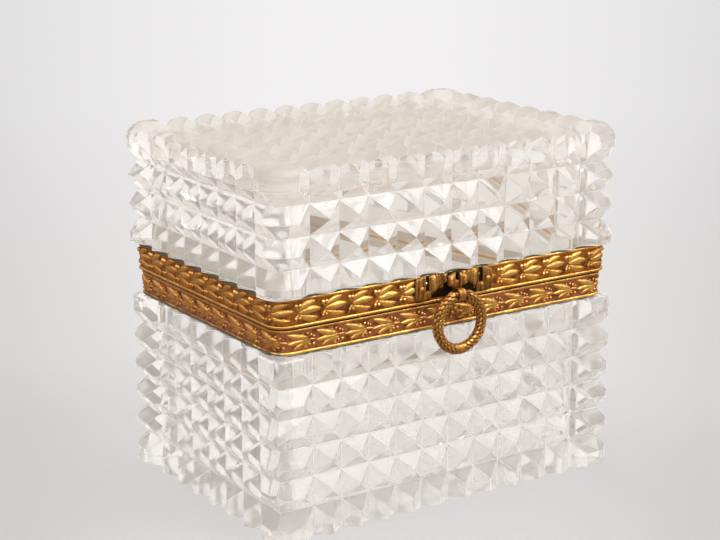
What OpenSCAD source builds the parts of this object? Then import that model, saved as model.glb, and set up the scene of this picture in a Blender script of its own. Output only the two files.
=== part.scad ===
// Cut-crystal casket with gilt laurel mounts: base, hinged lid and swinging wreath pull.
// Millimetres. +Z up, front towards -Y, origin at the centre of the foot on the resting plane.

/* [Plan] */
// Cut points across the front and the back
front_points = 10; // [6:2:14]
// Cut points along each side
side_points = 6; // [4:2:10]
// Width of one cut point across the base's front
front_pitch = 10.25; // [9:0.05:12]
// Width of one cut point along the base's side
side_pitch = 11; // [9:0.05:12]
// Corner block: from its outer grooved face to the first upright groove
corner_land = 11.9; // [11:0.1:14]
// How far the lid's crystal reaches past the base's on every side
lid_overhang = 0.9; // [0.6:0.05:1.6]

/* [Cutting] */
// Depth of the V-shaped cuts on the walls
cut_depth = 3.25; // [2.5:0.05:3.8]
// How far the corner blocks and the rows' edges stand proud of the points
proud = 0.15; // [0.1:0.05:0.3]
// Radius of the base's upright corners at the full height of the cutting
base_corner_round = 4; // [3:0.1:6]
// Radius of the lid's upright corners at the full height of the cutting
lid_corner_round = 6.4; // [6.1:0.1:7.5]
// Crystal left between the band's face and the cavity
wall = 8.4; // [7.6:0.1:10]
// Radius of the cavities' upright corners
cavity_round = 3.5; // [2:0.1:5]

/* [Base] */
// Whole rows of points on the base
base_rows = 4; // [2:1:5]
// Height of one row of the base
base_row_h = 9.85; // [8.5:0.05:11]
// Height of the lowest groove above the foot
foot_row_h = 9.6; // [8:0.1:12]
// Height from the top groove to the shoulder under the band
shoulder_row_h = 10.35; // [9:0.05:13]
// Rounding of the shoulder's edge
shoulder_round = 2; // [1:0.1:3]
// Thickness of the floor
floor_t = 8; // [5:0.5:12]

/* [Lid] */
// Whole rows of points on the lid
lid_rows = 2; // [1:1:4]
// Height of one row of the lid
lid_row_h = 9.75; // [8.5:0.05:11]
// Height of the lid's lowest groove above its rim
rim_row_h = 8; // [7:0.1:10]
// Height from the lid's top groove to its top
crown_row_h = 13; // [12:0.1:15]
// Rounding of the lid's top edge
crown_round = 6; // [4:0.1:6]
// Depth of the cuts across the lid's top
top_cut = 3.4; // [2.5:0.1:4]
// Crystal between the top cuts and the lid's cavity
ceiling_t = 8; // [5:0.5:10]

/* [Mounts] */
// Height of the base's gilt band
base_band_h = 8; // [7.5:0.05:10]
// Height of the lid's gilt band
lid_band_h = 9.2; // [9:0.05:11]
// How far the base's band stands outside the bottoms of the base's grooves
band_out = 1.4; // [1:0.1:2]
// How far the lid's band reaches past the base's band
band_step = 0.75; // [0.3:0.05:0.85]
// Radius of the bands' corners
band_round = 6; // [5:0.1:6.5]
// Gap between the two bands when shut
shut_gap = 0.5; // [0.2:0.05:0.7]
// Height of the plain bead along each edge of a band
bead_h = 1; // [0.8:0.05:1.2]
// Depth of the field between the beads
field_depth = 0.8; // [0.7:0.05:1]
// Thickness of the frame's outer leg behind the field
leg_t = 1.1; // [0.9:0.05:1.3]
// Thickness of the flange where the frames meet
flange_t = 1.6; // [1.2:0.1:2]
// Thickness of the frame's inner leg
inner_leg_t = 0.6; // [0.5:0.05:0.9]
// Depth to which the inner leg reaches into the cavity
inner_leg_h = 1.6; // [1:0.1:3]
// Thickness of the plaster bed between crystal and frame
bed_t = 0.5; // [0.3:0.05:0.7]
// Thickness of the plaster line that shows at a band's edge
bed_line = 0.45; // [0.2:0.05:0.6]
// Thickness of the stamped laurel strip without its relief
strip_t = 0.3; // [0.2:0.05:0.35]
// Height of the laurel relief above the strip
relief_h = 0.4; // [0.3:0.05:0.45]

/* [Hinge] */
// Length of the hinge
hinge_l = 44; // [36:1:56]
// Radius of the hinge barrel
barrel_r = 2.1; // [1.8:0.05:2.4]
// Radius of the hinge pin
pin_r = 1; // [0.8:0.05:1.2]
// Thickness of the hinge leaves
leaf_t = 0.9; // [0.7:0.05:1.1]
// Angle at which the heels stop the lid
lid_open = 95; // [91:1:100]

/* [Bow and ring] */
// Width of the ribbon bow
bow_w = 30; // [26:0.5:36]
// Thickness of the ribbon
bow_t = 1.4; // [1.2:0.1:2]
// Radius of the ring's centre line
ring_r = 8.6; // [8:0.1:9.5]
// Radius of the ring's section
ring_wire = 1.9; // [1.7:0.1:2.3]
// How much the ring's two upper arcs lean to a point
ring_point = 0.6; // [0.4:0.1:1.5]
// Radius of the ring's pivot pin
pivot_r = 0.9; // [0.7:0.05:1]
// Thickness of the eye that the ring hangs from
eye_t = 2.4; // [2:0.1:3]

/* [Hidden] */
$fn = 48;

fit = 0.05;          // radial clearance of a running pin
press = 0.02;        // radial clearance of a pin that stays put
run_gap = 0.3;       // clearance between pieces that pass each other
eps = 0.01;          // overlap that makes one solid of touching shapes
cutter_l = 12;       // length of a cutter that goes right through a band

// Half sizes at the bottom of the grooves
base_hw = front_points / 2 * front_pitch + corner_land;
base_hd = side_points / 2 * side_pitch + corner_land;
lid_hw = base_hw + lid_overhang;
lid_hd = base_hd + lid_overhang;
lid_front_pitch = (lid_hw - corner_land) / (front_points / 2);
lid_side_pitch = (lid_hd - corner_land) / (side_points / 2);
reach = cut_depth + proud;
row_sink = 0.05;     // level grooves are a hair deeper, so the two sets never share an edge

// Half sizes at the bands' outer faces
base_band_hw = base_hw + band_out;
base_band_hd = base_hd + band_out;
lid_band_hw = base_band_hw + band_step;
lid_band_hd = base_band_hd + band_step;

// Heights
b_top_groove = foot_row_h + base_rows * base_row_h;
shoulder_z = b_top_groove + shoulder_row_h;
base_band_z0 = shoulder_z + bed_line;
base_band_z1 = base_band_z0 + base_band_h;
lid_band_z0 = base_band_z1 + shut_gap;
lid_band_z1 = lid_band_z0 + lid_band_h;
rim_z = lid_band_z1 + bed_line;
l_low_groove = rim_z + rim_row_h;
l_top_groove = l_low_groove + lid_rows * lid_row_h;
lid_top = l_top_groove + crown_row_h;
ceiling_z = lid_top - top_cut - ceiling_t;

// The neck of the crystal stands inside the frame, inset from the band's face
neck_in = field_depth + leg_t + bed_t;
base_neck_z = base_band_z1 - flange_t - bed_t;
lid_neck_z = lid_band_z0 + flange_t + bed_t;
inner_leg_in = wall + press + inner_leg_t;

// Hinge axis: clear of both leaves, on the parting plane
leaf_gap = run_gap + barrel_r;
axis_y = base_band_hd + max(leaf_t, band_step) + leaf_gap;
axis_z = (base_band_z1 + lid_band_z0) / 2;
base_leaf_y = axis_y - base_band_hd - leaf_t;
heel = (base_leaf_y - fit) / (sqrt(2) * -cos(45 + lid_open));
knuckles = 5;
knuckle_gap = 0.2;
knuckle_l = hinge_l / knuckles;
rivet_r = 0.8;
rivet_head_r = 1.3;
rivet_head_h = 0.6;
rivets = 3;
rivet_step = hinge_l * 0.38;
leaf_edge = 0.4;
base_rivet_z = (base_band_z0 + bead_h + axis_z - barrel_r - run_gap) / 2;
lid_rivet_z = (lid_band_z1 - bead_h + axis_z + barrel_r + run_gap) / 2;

// Ring and bow on the front of the lid's band
bow_y = -lid_band_hd;
bow_face_y = bow_y - bow_t;
bow_z0 = lid_band_z0 + bead_h + 0.3;
bow_z1 = lid_band_z1 - 0.2;
ring_y = -(max(base_hd + reach, lid_band_hd + bow_t) + ring_wire + run_gap);
ring_arc = ring_r + ring_point;
ring_rise = sqrt(ring_arc * ring_arc - ring_point * ring_point);
eye_r = 1.9;
pivot_z = bow_z0 + eye_r - 0.8;
ring_z = pivot_z - ring_rise;
branch_x = eye_t / 2 + run_gap;
shank_r = 1;
bow_pin_r = 0.6;
bow_pin_x = bow_w * 0.43;
bow_pin_z = (bow_z0 + bow_z1) / 2;
strap_w = 4.4;
strap_drop = 0.3;
knot_w = 4.6;
knot_r = 2.1;
knot_bulge = 4;
knot_notch = 1;
knot_z = (pivot_z + eye_r + bow_z1) / 2;
pin_half = branch_x + 1.7;
sprig_w = 6.4;
sprig_t = 0.6;
berry_r = 1;

// ---- shared shapes ----

// Rounded rectangle with half sizes hw and hd
module plan(hw, hd, r) {
    square([2 * (hw - r), 2 * hd], center = true);
    square([2 * hw, 2 * (hd - r)], center = true);
    for (sx = [-1, 1], sy = [-1, 1])
        translate([sx * (hw - r), sy * (hd - r)]) circle(r);
}

module slab(hw, hd, r, z0, z1) {
    translate([0, 0, z0]) linear_extrude(z1 - z0) plan(hw, hd, r);
}

// Corner radius of a face that lies d inside a band's outer face
function inset_r(d) = d >= wall ? cavity_round + wall - d : band_round - d;

// Upright wall whose faces lie d_out and d_in inside a band's outer face
module wall_ring(hw, hd, d_out, d_in, z0, z1) {
    difference() {
        slab(hw - d_out, hd - d_out, inset_r(d_out), z0, z1);
        slab(hw - d_in, hd - d_in, inset_r(d_in), z0 - 1, z1 + 1);
    }
}

// Runs a 2D section round a band: the section's x is measured from the corners' centres
module run_round(hw, hd) {
    cx = hw - band_round;
    cy = hd - band_round;
    for (s = [-1, 1]) {
        translate([0, s * cy, 0]) rotate([90, 0, s * 90]) linear_extrude(2 * cx, center = true)
            children();
        translate([s * cx, 0, 0]) rotate([90, 0, s * 90 - 90]) linear_extrude(2 * cy, center = true)
            children();
    }
    for (i = [0:3])
        translate([(i % 3 == 0 ? 1 : -1) * cx, (i < 2 ? 1 : -1) * cy, 0])
            rotate([0, 0, i * 90]) rotate_extrude(angle = 90) children();
}

// Zigzag of n cuts: [position along the wall, height above the groove bottoms]
function zigzag(n, pitch, depth) =
    [for (i = [-1:2 * n + 1]) [(i - n) * pitch / 2, abs(i) % 2 == 1 ? depth : 0]];

// Past the last cut the flank runs on out of the block, so the corner stays plain
function flank_run(n, pitch, depth) =
    let (past = depth + 2) [n * pitch / 2 + past * pitch / 2 / depth, past];

function side_outline(n, pitch, depth) =
    let (z = zigzag(n, pitch, depth), f = flank_run(n, pitch, depth))
    concat([[-f[0], f[1]]], [for (i = [1:len(z) - 2]) z[i]], [f]);

// Prism whose four sides carry the upright grooves
module upright_cuts(hw, hd, pitch_x, pitch_y, z0, z1) {
    fx = side_outline(front_points, pitch_x, cut_depth);
    fy = side_outline(side_points, pitch_y, cut_depth);
    far = cut_depth + 2;
    outline = concat(
        [for (p = fx) [p[0], -hd - p[1]]], [[hw + far, -hd - far]],
        [for (p = fy) [hw + p[1], p[0]]], [[hw + far, hd + far]],
        [for (p = fx) [-p[0], hd + p[1]]], [[-hw - far, hd + far]],
        [for (p = fy) [-hw - p[1], -p[0]]], [[-hw - far, -hd - far]]);
    translate([0, 0, z0]) linear_extrude(z1 - z0) polygon(outline);
}

// Half of the upright section: a zigzag edge with its groove bottoms at x = edge - row_sink
module half_section(edge, z0, grooves, row, z1, top_r) {
    z_arc = z1 - top_r;
    flanks = [for (g = grooves) each [[reach, g - row / 2], [-row_sink, g], [reach, g + row / 2]]];
    pts = concat([[0, z0], [edge + reach, z0]],
                 [for (f = flanks) [edge + f[0], f[1]]],
                 [[edge + reach, z_arc], [0, z_arc]]);
    polygon(pts);
    translate([0, z_arc - eps]) square([edge + reach - top_r, top_r + eps]);
    translate([edge + reach - top_r, z_arc]) intersection() {
        circle(top_r);
        square(top_r + 1);
    }
}

// Block with level grooves that meet in mitres at its corners, their ridges rounded off
module mitred_level_cuts(hw, hd, z0, grooves, row, z1, top_r) {
    intersection() {
        rotate([90, 0, 90]) linear_extrude(2 * (hw + reach), center = true)
            for (s = [0, 1]) mirror([s, 0]) half_section(hd, z0, grooves, row, z1, top_r);
        rotate([90, 0, 0]) linear_extrude(2 * (hd + reach), center = true)
            for (s = [0, 1]) mirror([s, 0]) half_section(hw, z0, grooves, row, z1, top_r);
        slab(hw + reach, hd + reach, base_corner_round, z0, z1);
    }
}

// Block whose level grooves run round its corners in arcs
module rounded_level_cuts(hw, hd, z0, grooves, row, z1, top_r) {
    core = lid_corner_round - reach;
    rotate([90, 0, 90]) linear_extrude(2 * (hw - core), center = true)
        for (s = [0, 1]) mirror([s, 0]) half_section(hd, z0, grooves, row, z1, top_r);
    rotate([90, 0, 0]) linear_extrude(2 * (hd - core), center = true)
        for (s = [0, 1]) mirror([s, 0]) half_section(hw, z0, grooves, row, z1, top_r);
    for (sx = [-1, 1], sy = [-1, 1])
        translate([sx * (hw - core), sy * (hd - core), 0])
            rotate_extrude() half_section(core, z0, grooves, row, z1, top_r);
}

// Ridges across the lid's top: n grooves' worth of zigzag, plain past the last flank
module top_ridges(n, pitch, half, span) {
    z = zigzag(n, pitch, top_cut);
    low = rim_z - 1;
    pts = concat([[-half, low], [-half, lid_top + 1], [z[0][0] - pitch / 4, lid_top + 1]],
                 [for (i = [0:len(z) - 1]) [z[i][0], lid_top - top_cut + z[i][1]]],
                 [[-z[0][0] + pitch / 4, lid_top + 1], [half, lid_top + 1], [half, low]]);
    rotate([90, 0, 0]) linear_extrude(2 * span, center = true) polygon(pts);
}

// ---- crystal ----

module base_crystal() {
    grooves = [for (i = [0:base_rows]) foot_row_h + i * base_row_h];
    color([0.93, 0.93, 0.91, 0.5]) difference() {
        union() {
            intersection() {
                upright_cuts(base_hw, base_hd, front_pitch, side_pitch, -1, shoulder_z + 1);
                mitred_level_cuts(base_hw, base_hd, 0, grooves, base_row_h, shoulder_z,
                                  shoulder_round);
            }
            slab(base_band_hw - neck_in, base_band_hd - neck_in, inset_r(neck_in),
                 shoulder_z - 1, base_neck_z);
        }
        slab(base_band_hw - wall, base_band_hd - wall, cavity_round, floor_t, base_neck_z + 1);
    }
}

module lid_crystal() {
    grooves = [for (i = [0:lid_rows]) l_low_groove + i * lid_row_h];
    color([0.93, 0.93, 0.91, 0.5]) difference() {
        union() {
            intersection() {
                upright_cuts(lid_hw, lid_hd, lid_front_pitch, lid_side_pitch, rim_z - 1, lid_top + 1);
                rounded_level_cuts(lid_hw, lid_hd, rim_z, grooves, lid_row_h, lid_top,
                                   crown_round);
                top_ridges(front_points, lid_front_pitch, lid_hw + 9, lid_hd + 9);
                rotate([0, 0, 90]) top_ridges(side_points, lid_side_pitch, lid_hd + 9, lid_hw + 9);
            }
            slab(lid_band_hw - neck_in, lid_band_hd - neck_in, inset_r(neck_in),
                 lid_neck_z, rim_z + 1);
        }
        slab(lid_band_hw - wall, lid_band_hd - wall, cavity_round, lid_neck_z - 1, ceiling_z);
    }
}

// ---- gilt mounts ----

// Half-round bead against the field, seen in section
module bead_section(z0) {
    inner = band_round - field_depth - eps;
    mid = band_round - bead_h / 2;
    translate([inner, z0]) square([mid - inner, bead_h]);
    translate([mid, z0 + bead_h / 2]) circle(bead_h / 2);
}

// Channel that straddles the neck: outer leg with two beads, flange and inner leg
module frame_channel(hw, hd, z0, z1, flange_z0, inner_z0) {
    wall_ring(hw, hd, field_depth, field_depth + leg_t, z0, z1);
    run_round(hw, hd) bead_section(z0);
    run_round(hw, hd) bead_section(z1 - bead_h);
    wall_ring(hw, hd, field_depth + leg_t - eps, inner_leg_in, flange_z0, flange_z0 + flange_t);
    wall_ring(hw, hd, wall + press, inner_leg_in, inner_z0, inner_z0 + inner_leg_h + eps);
}

// Places children at the hinge leaf's rivets, looking along +Y from the band's outer face
module at_rivets(y, z) {
    for (i = [0:rivets - 1])
        translate([(i - (rivets - 1) / 2) * rivet_step, y, z]) rotate([-90, 0, 0]) children();
}

module rivet_holes(y, z) {
    at_rivets(y, z) cylinder(h = cutter_l, r = rivet_r + press, center = true);
}

// Holes at the front for the eye's shank and the bow's pins
module bow_holes() {
    translate([0, bow_y, pivot_z]) rotate([90, 0, 0])
        cylinder(h = cutter_l, r = shank_r + press, center = true);
    for (s = [-1, 1])
        translate([s * bow_pin_x, bow_y, bow_pin_z]) rotate([90, 0, 0])
            cylinder(h = cutter_l, r = bow_pin_r + press, center = true);
}

module base_frame() {
    color("#c8913a") difference() {
        frame_channel(base_band_hw, base_band_hd, base_band_z0, base_band_z1,
                      base_band_z1 - flange_t, base_band_z1 - flange_t - inner_leg_h);
        rivet_holes(base_band_hd, base_rivet_z);
    }
}

module lid_frame() {
    color("#c8913a") difference() {
        frame_channel(lid_band_hw, lid_band_hd, lid_band_z0, lid_band_z1,
                      lid_band_z0, lid_band_z0 + flange_t - eps);
        rivet_holes(lid_band_hd, lid_rivet_z);
        bow_holes();
    }
}

// Plaster between neck and frame, with the line that shows at the band's edge
module base_plaster_bed() {
    behind = field_depth + leg_t;
    color("#8f8f7d") {
        wall_ring(base_band_hw, base_band_hd, bead_h / 2, neck_in, shoulder_z, base_band_z0);
        wall_ring(base_band_hw, base_band_hd, behind, neck_in, base_band_z0 - eps,
                  base_neck_z + bed_t);
        wall_ring(base_band_hw, base_band_hd, behind, wall, base_neck_z, base_neck_z + bed_t);
    }
}

module lid_plaster_bed() {
    behind = field_depth + leg_t;
    color("#8f8f7d") {
        wall_ring(lid_band_hw, lid_band_hd, bead_h / 4, neck_in, lid_band_z1, rim_z);
        wall_ring(lid_band_hw, lid_band_hd, behind, neck_in, lid_neck_z - bed_t, lid_band_z1 + eps);
        wall_ring(lid_band_hw, lid_band_hd, behind, wall, lid_neck_z - bed_t, lid_neck_z);
    }
}

// ---- laurel ----

// Pointed leaf of length l and width w, its stalk end at the origin
module leaf_shape(l, w) {
    arc_r = (l * l + w * w) / (4 * w);
    translate([l / 2, 0]) intersection() {
        translate([0, arc_r - w / 2]) circle(arc_r);
        translate([0, w / 2 - arc_r]) circle(arc_r);
    }
}

// Three leaves and a pair of berries within one repeat of the band
module laurel_cluster(step, tall) {
    leaf_l = step * 0.62;
    leaf_w = tall * 0.34;
    spread = asin(tall * 0.42 / leaf_l);
    translate([-step * 0.42, 0]) {
        leaf_shape(leaf_l * 1.15, leaf_w);
        for (s = [-1, 1]) translate([step * 0.04, s * tall * 0.04]) rotate(s * spread)
            leaf_shape(leaf_l, leaf_w);
    }
    for (s = [-1, 1]) translate([step * 0.36, s * tall * 0.2]) circle(tall * 0.085);
}

// Clusters along one straight side; turn = 1 makes both halves point to the middle
module laurel_run(length, count, tall, turn, skip) {
    step = length / count;
    for (i = [0:count - 1]) {
        x = (i - (count - 1) / 2) * step;
        if (abs(x) > skip * step)
            translate([x, 0]) mirror([turn == 1 && x > 0 ? 1 : 0, 0]) laurel_cluster(step, tall);
    }
}

// Stamped strip in the field: plain at the corners, leaves along the four sides
module laurel_strip(hw, hd, z0, z1, turn, front_skip) {
    low = z0 + bead_h + fit;
    high = z1 - bead_h - fit;
    mid = (low + high) / 2;
    face = field_depth - strip_t;
    rise = relief_h + eps;
    wall_ring(hw, hd, face, field_depth, low, high);
    for (side = [0, 1]) rotate([0, 0, side * 180]) {
        translate([0, -hd + face + eps, mid]) rotate([90, 0, 0]) linear_extrude(rise)
            laurel_run(2 * (hw - band_round), front_points + 1, high - low, turn,
                       side == 0 ? front_skip : -1);
        translate([hw - face - eps, 0, mid]) rotate([90, 0, 90]) linear_extrude(rise)
            laurel_run(2 * (hd - band_round), side_points + 1, high - low, 0, -1);
    }
}

module base_laurel_strip() {
    color("#b07a2c") difference() {
        laurel_strip(base_band_hw, base_band_hd, base_band_z0, base_band_z1, 0, 0.5);
        rivet_holes(base_band_hd, base_rivet_z);
    }
}

module lid_laurel_strip() {
    color("#b07a2c") difference() {
        laurel_strip(lid_band_hw, lid_band_hd, lid_band_z0, lid_band_z1, 1, 1.5);
        rivet_holes(lid_band_hd, lid_rivet_z);
        bow_holes();
    }
}

// Pair of berries on a leaf, at the middle of the base's band
module berry_sprig() {
    seat = -base_band_hd + field_depth - strip_t;
    mid = (base_band_z0 + base_band_z1) / 2;
    color("#9a5a26") translate([0, seat, mid]) {
        rotate([90, 0, 0]) linear_extrude(sprig_t) {
            translate([-sprig_w / 2, 0]) leaf_shape(sprig_w, sprig_w * 0.45);
        }
        for (s = [-1, 1]) translate([s * berry_r * 1.15, 0, 0]) intersection() {
            translate([0, -sprig_t, 0]) sphere(berry_r);
            translate([-sprig_w, -2 * sprig_w, -sprig_w]) cube(2 * sprig_w);
        }
    }
}

// ---- hinge ----

// Barrels of a leaf: first is the index of its first knuckle
module barrels(first) {
    for (i = [first:2:knuckles - 1])
        translate([-hinge_l / 2 + i * knuckle_l + knuckle_gap / 2, axis_y, axis_z])
            rotate([0, 90, 0]) cylinder(h = knuckle_l - knuckle_gap, r = barrel_r);
}

// Block behind each knuckle of a leaf, from y0 to y1 and z0 to z1
module knuckle_blocks(first, y0, y1, z0, z1) {
    for (i = [first:2:knuckles - 1])
        translate([-hinge_l / 2 + i * knuckle_l + knuckle_gap / 2, y0, z0])
            cube([knuckle_l - knuckle_gap, y1 - y0, z1 - z0]);
}

module pin_bore(r) {
    translate([0, axis_y, axis_z]) rotate([0, 90, 0])
        cylinder(h = hinge_l + cutter_l, r = r, center = true);
}

module base_hinge_leaf() {
    z0 = base_band_z0 + leaf_edge;
    color("#b9822f") difference() {
        union() {
            translate([-hinge_l / 2, base_band_hd, z0])
                cube([hinge_l, leaf_t, base_band_z1 - z0]);
            knuckle_blocks(0, base_band_hd, axis_y, axis_z - barrel_r, base_band_z1);
            barrels(0);
        }
        pin_bore(pin_r + press);
        rivet_holes(base_band_hd, base_rivet_z);
    }
}

module lid_hinge_leaf() {
    z0 = axis_z + barrel_r + run_gap;
    color("#b9822f") difference() {
        union() {
            translate([-hinge_l / 2, lid_band_hd, z0])
                cube([hinge_l, leaf_t, lid_band_z1 - leaf_edge - z0]);
            knuckle_blocks(1, lid_band_hd, lid_band_hd + leaf_t, lid_band_z0, z0 + eps);
            knuckle_blocks(1, lid_band_hd, axis_y, lid_band_z0, axis_z + barrel_r);
            knuckle_blocks(1, axis_y, axis_y + heel, axis_z - heel, axis_z);
            barrels(1);
        }
        pin_bore(pin_r + fit);
        rivet_holes(lid_band_hd, lid_rivet_z);
    }
}

module hinge_pin() {
    color("#a8752b") translate([0, axis_y, axis_z]) rotate([0, 90, 0])
        cylinder(h = hinge_l + 1.2, r = pin_r, center = true);
}

// Rivet with a domed head, its shank reaching through leaf, strip and frame
module rivet(r, head_r, head_h, grip) {
    dome_r = (head_r * head_r + head_h * head_h) / (2 * head_h);
    translate([0, 0, -grip]) cylinder(h = grip + head_h / 2, r = r);
    intersection() {
        translate([0, 0, head_h - dome_r]) sphere(dome_r);
        cylinder(h = head_h + 1, r = head_r * 2);
    }
}

module base_hinge_rivets() {
    color("#c79a4a") at_rivets(base_band_hd + leaf_t, base_rivet_z)
        rivet(rivet_r, rivet_head_r, rivet_head_h, leaf_t + field_depth + leg_t);
}

module lid_hinge_rivets() {
    color("#c79a4a") at_rivets(lid_band_hd + leaf_t, lid_rivet_z)
        rivet(rivet_r, rivet_head_r, rivet_head_h, leaf_t + field_depth + leg_t);
}

// ---- bow and ring ----

// One loop of the ribbon in front view, w wide and h high, with its two openings
module ribbon_loop(w, h) {
    difference() {
        union() {
            polygon([[0, 0.30 * h], [0.30 * w, 0.20 * h], [0.62 * w, 0.02 * h], [0.86 * w, 0],
                     [0.86 * w, h], [0.45 * w, h], [0.20 * w, 0.92 * h], [0, 0.80 * h]]);
            for (k = [0.2, 0.5, 0.8]) translate([0.86 * w, k * h]) circle(0.14 * w);
        }
        translate([0.64 * w, 0.30 * h]) square([0.08 * w, 0.55 * h]);
        polygon([[0.22 * w, 0.50 * h], [0.47 * w, 0.34 * h], [0.52 * w, 0.60 * h],
                 [0.42 * w, 0.80 * h], [0.28 * w, 0.72 * h]]);
    }
}

module bow_ribbon() {
    color("#c9a04c") difference() {
        translate([0, bow_y, bow_z0]) rotate([90, 0, 0]) linear_extrude(bow_t) {
            for (s = [0, 1]) mirror([s, 0]) ribbon_loop(bow_w / 2, bow_z1 - bow_z0);
            translate([-strap_w / 2, -strap_drop]) square([strap_w, bow_z1 - bow_z0 + strap_drop]);
        }
        bow_holes();
    }
}

// Knot: a half barrel across the strap with a notch between its two folds
module bow_knot() {
    color("#b98a3c") translate([0, bow_face_y, knot_z]) difference() {
        intersection() {
            rotate([0, 90, 0]) rotate_extrude() intersection() {
                translate([knot_r - knot_bulge, 0]) circle(knot_bulge);
                translate([0, -knot_w / 2]) square([knot_r + 1, knot_w]);
            }
            translate([-knot_w, -2 * knot_r, -2 * knot_r]) cube([2 * knot_w, 2 * knot_r, 4 * knot_r]);
        }
        translate([0, 0, knot_r]) rotate([90, 0, 0]) rotate([0, 0, 45])
            cube([knot_notch, knot_notch, 4 * knot_r], center = true);
    }
}

module bow_pins() {
    color("#c79a4a") for (s = [-1, 1])
        translate([s * bow_pin_x, bow_face_y, bow_pin_z]) rotate([90, 0, 0])
            rivet(bow_pin_r, bow_pin_r * 1.7, bow_pin_r * 0.8, bow_t + field_depth + leg_t);
}

// Eye between the ring's tips, with the shank that holds the bow to the frame
module ring_eye() {
    color("#b98a3c") difference() {
        union() {
            translate([-eye_t / 2, ring_y, pivot_z - eye_r])
                cube([eye_t, bow_face_y - ring_y, 2 * eye_r]);
            translate([0, ring_y, pivot_z]) rotate([0, 90, 0])
                cylinder(h = eye_t, r = eye_r, center = true);
            translate([0, bow_face_y - eps, pivot_z]) rotate([-90, 0, 0])
                cylinder(h = bow_t + field_depth + leg_t + eps, r = shank_r);
        }
        translate([0, ring_y, pivot_z]) rotate([0, 90, 0])
            cylinder(h = eye_t + 2, r = pivot_r + fit, center = true);
    }
}

// Half ring below, two leaning arcs above, cut off square on each side of the eye
module ring_wreath() {
    color("#a8752b") translate([0, ring_y, ring_z]) difference() {
        rotate([90, 0, 0]) {
            rotate([0, 0, 180]) rotate_extrude(angle = 180) translate([ring_r, 0]) circle(ring_wire);
            for (s = [0, 1]) mirror([s, 0, 0]) translate([-ring_point, 0, 0])
                rotate_extrude(angle = acos(ring_point / ring_arc))
                    translate([ring_arc, 0]) circle(ring_wire);
        }
        translate([-branch_x, -ring_r, 0]) cube([2 * branch_x, 2 * ring_r, 2 * ring_arc]);
        translate([0, 0, ring_rise]) rotate([0, 90, 0])
            cylinder(h = 2 * pin_half + 2 * fit, r = pivot_r + press, center = true);
    }
}

module ring_pivot_pin() {
    color("#c79a4a") translate([0, ring_y, pivot_z]) rotate([0, 90, 0])
        cylinder(h = 2 * pin_half, r = pivot_r, center = true);
}

base_crystal();
base_plaster_bed();
base_frame();
base_laurel_strip();
berry_sprig();
base_hinge_leaf();
base_hinge_rivets();
hinge_pin();
lid_crystal();
lid_plaster_bed();
lid_frame();
lid_laurel_strip();
lid_hinge_leaf();
lid_hinge_rivets();
bow_ribbon();
bow_knot();
bow_pins();
ring_eye();
ring_wreath();
ring_pivot_pin();
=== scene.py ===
"""Finishes of the cut-crystal casket: crystal, gilt laurel bands, ribbon bow and wreath pull."""

from math import acos, cos, dist, exp, pi, radians, sin

import bmesh
import bpy
from bpy.props import FloatProperty, FloatVectorProperty, IntProperty, PointerProperty
from mathutils import Matrix, Vector


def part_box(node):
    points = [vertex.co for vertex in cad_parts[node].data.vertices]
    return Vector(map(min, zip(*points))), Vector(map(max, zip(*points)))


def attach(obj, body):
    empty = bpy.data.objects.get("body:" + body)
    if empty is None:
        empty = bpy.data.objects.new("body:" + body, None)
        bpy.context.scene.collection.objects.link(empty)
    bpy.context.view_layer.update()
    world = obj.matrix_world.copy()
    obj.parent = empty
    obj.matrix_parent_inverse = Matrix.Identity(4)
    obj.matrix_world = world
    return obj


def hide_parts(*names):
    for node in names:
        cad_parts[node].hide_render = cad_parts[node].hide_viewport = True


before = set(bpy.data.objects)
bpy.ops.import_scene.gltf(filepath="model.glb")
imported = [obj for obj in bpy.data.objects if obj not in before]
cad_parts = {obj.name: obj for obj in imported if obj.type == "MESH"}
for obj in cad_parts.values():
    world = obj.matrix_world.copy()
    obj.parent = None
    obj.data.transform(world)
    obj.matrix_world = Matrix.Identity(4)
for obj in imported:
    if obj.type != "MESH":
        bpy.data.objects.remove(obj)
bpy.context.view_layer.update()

bl_info = {
    "name": "Crystal Casket Finishes",
    "version": (1, 0, 0),
    "blender": (4, 5, 0),
    "location": "View3D > Sidebar > Casket",
    "description": "Dresses the packed casket box with crystal, gilt laurel and a ribbon bow",
    "category": "Object",
}

MM = 0.001
WELD = 1e-7              # metres; points closer than this are one point
SHARP_ANGLE = radians(50)
CRYSTAL_IOR = 1.52

# Where the CAD pieces stand, each as (lowest corner, highest corner) in metres
BASE_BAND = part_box("base_frame")
LID_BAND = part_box("lid_frame")
BASE_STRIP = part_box("base_laurel_strip")
LID_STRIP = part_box("lid_laurel_strip")
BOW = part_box("bow_ribbon")
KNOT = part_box("bow_knot")
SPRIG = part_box("berry_sprig")
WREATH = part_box("ring_wreath")
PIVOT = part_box("ring_pivot_pin")
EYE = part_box("ring_eye")
LID_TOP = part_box("lid_crystal")[1][2]
WIRE = (WREATH[1][1] - WREATH[0][1]) / 2  # half the ring's thickness
RING_R = WREATH[1][0] - WIRE              # from its centre to the middle of the wire
RING_CENTRE = Vector((0, (WREATH[0][1] + WREATH[1][1]) / 2, WREATH[0][2] + WIRE + RING_R))

BAND_ROUND = 6 * MM        # corner radius of the bands' outer faces
STRIP_T = 0.28 * MM        # thickness of a garland's ground
STRIP_SINK = 0.5 * MM      # how far the ground lies behind the bands' beads
EYE_GAP = 0.6 * MM         # path left bare of leaves between the eye and each tip of the ring
REPEAT_WELD = 0.005 * MM   # how close the ends of two repeats lie

# The grain of the finishes, in cells to the metre
WAVER_CELLS = 260.0
SMUDGES, STREAKS = 60.0, 900.0
PATCHES, MOTTLES, GRAIN = 180.0, 420.0, 1200.0
STAINS, PLASTER_GRAIN = 260.0, 1800.0

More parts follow.
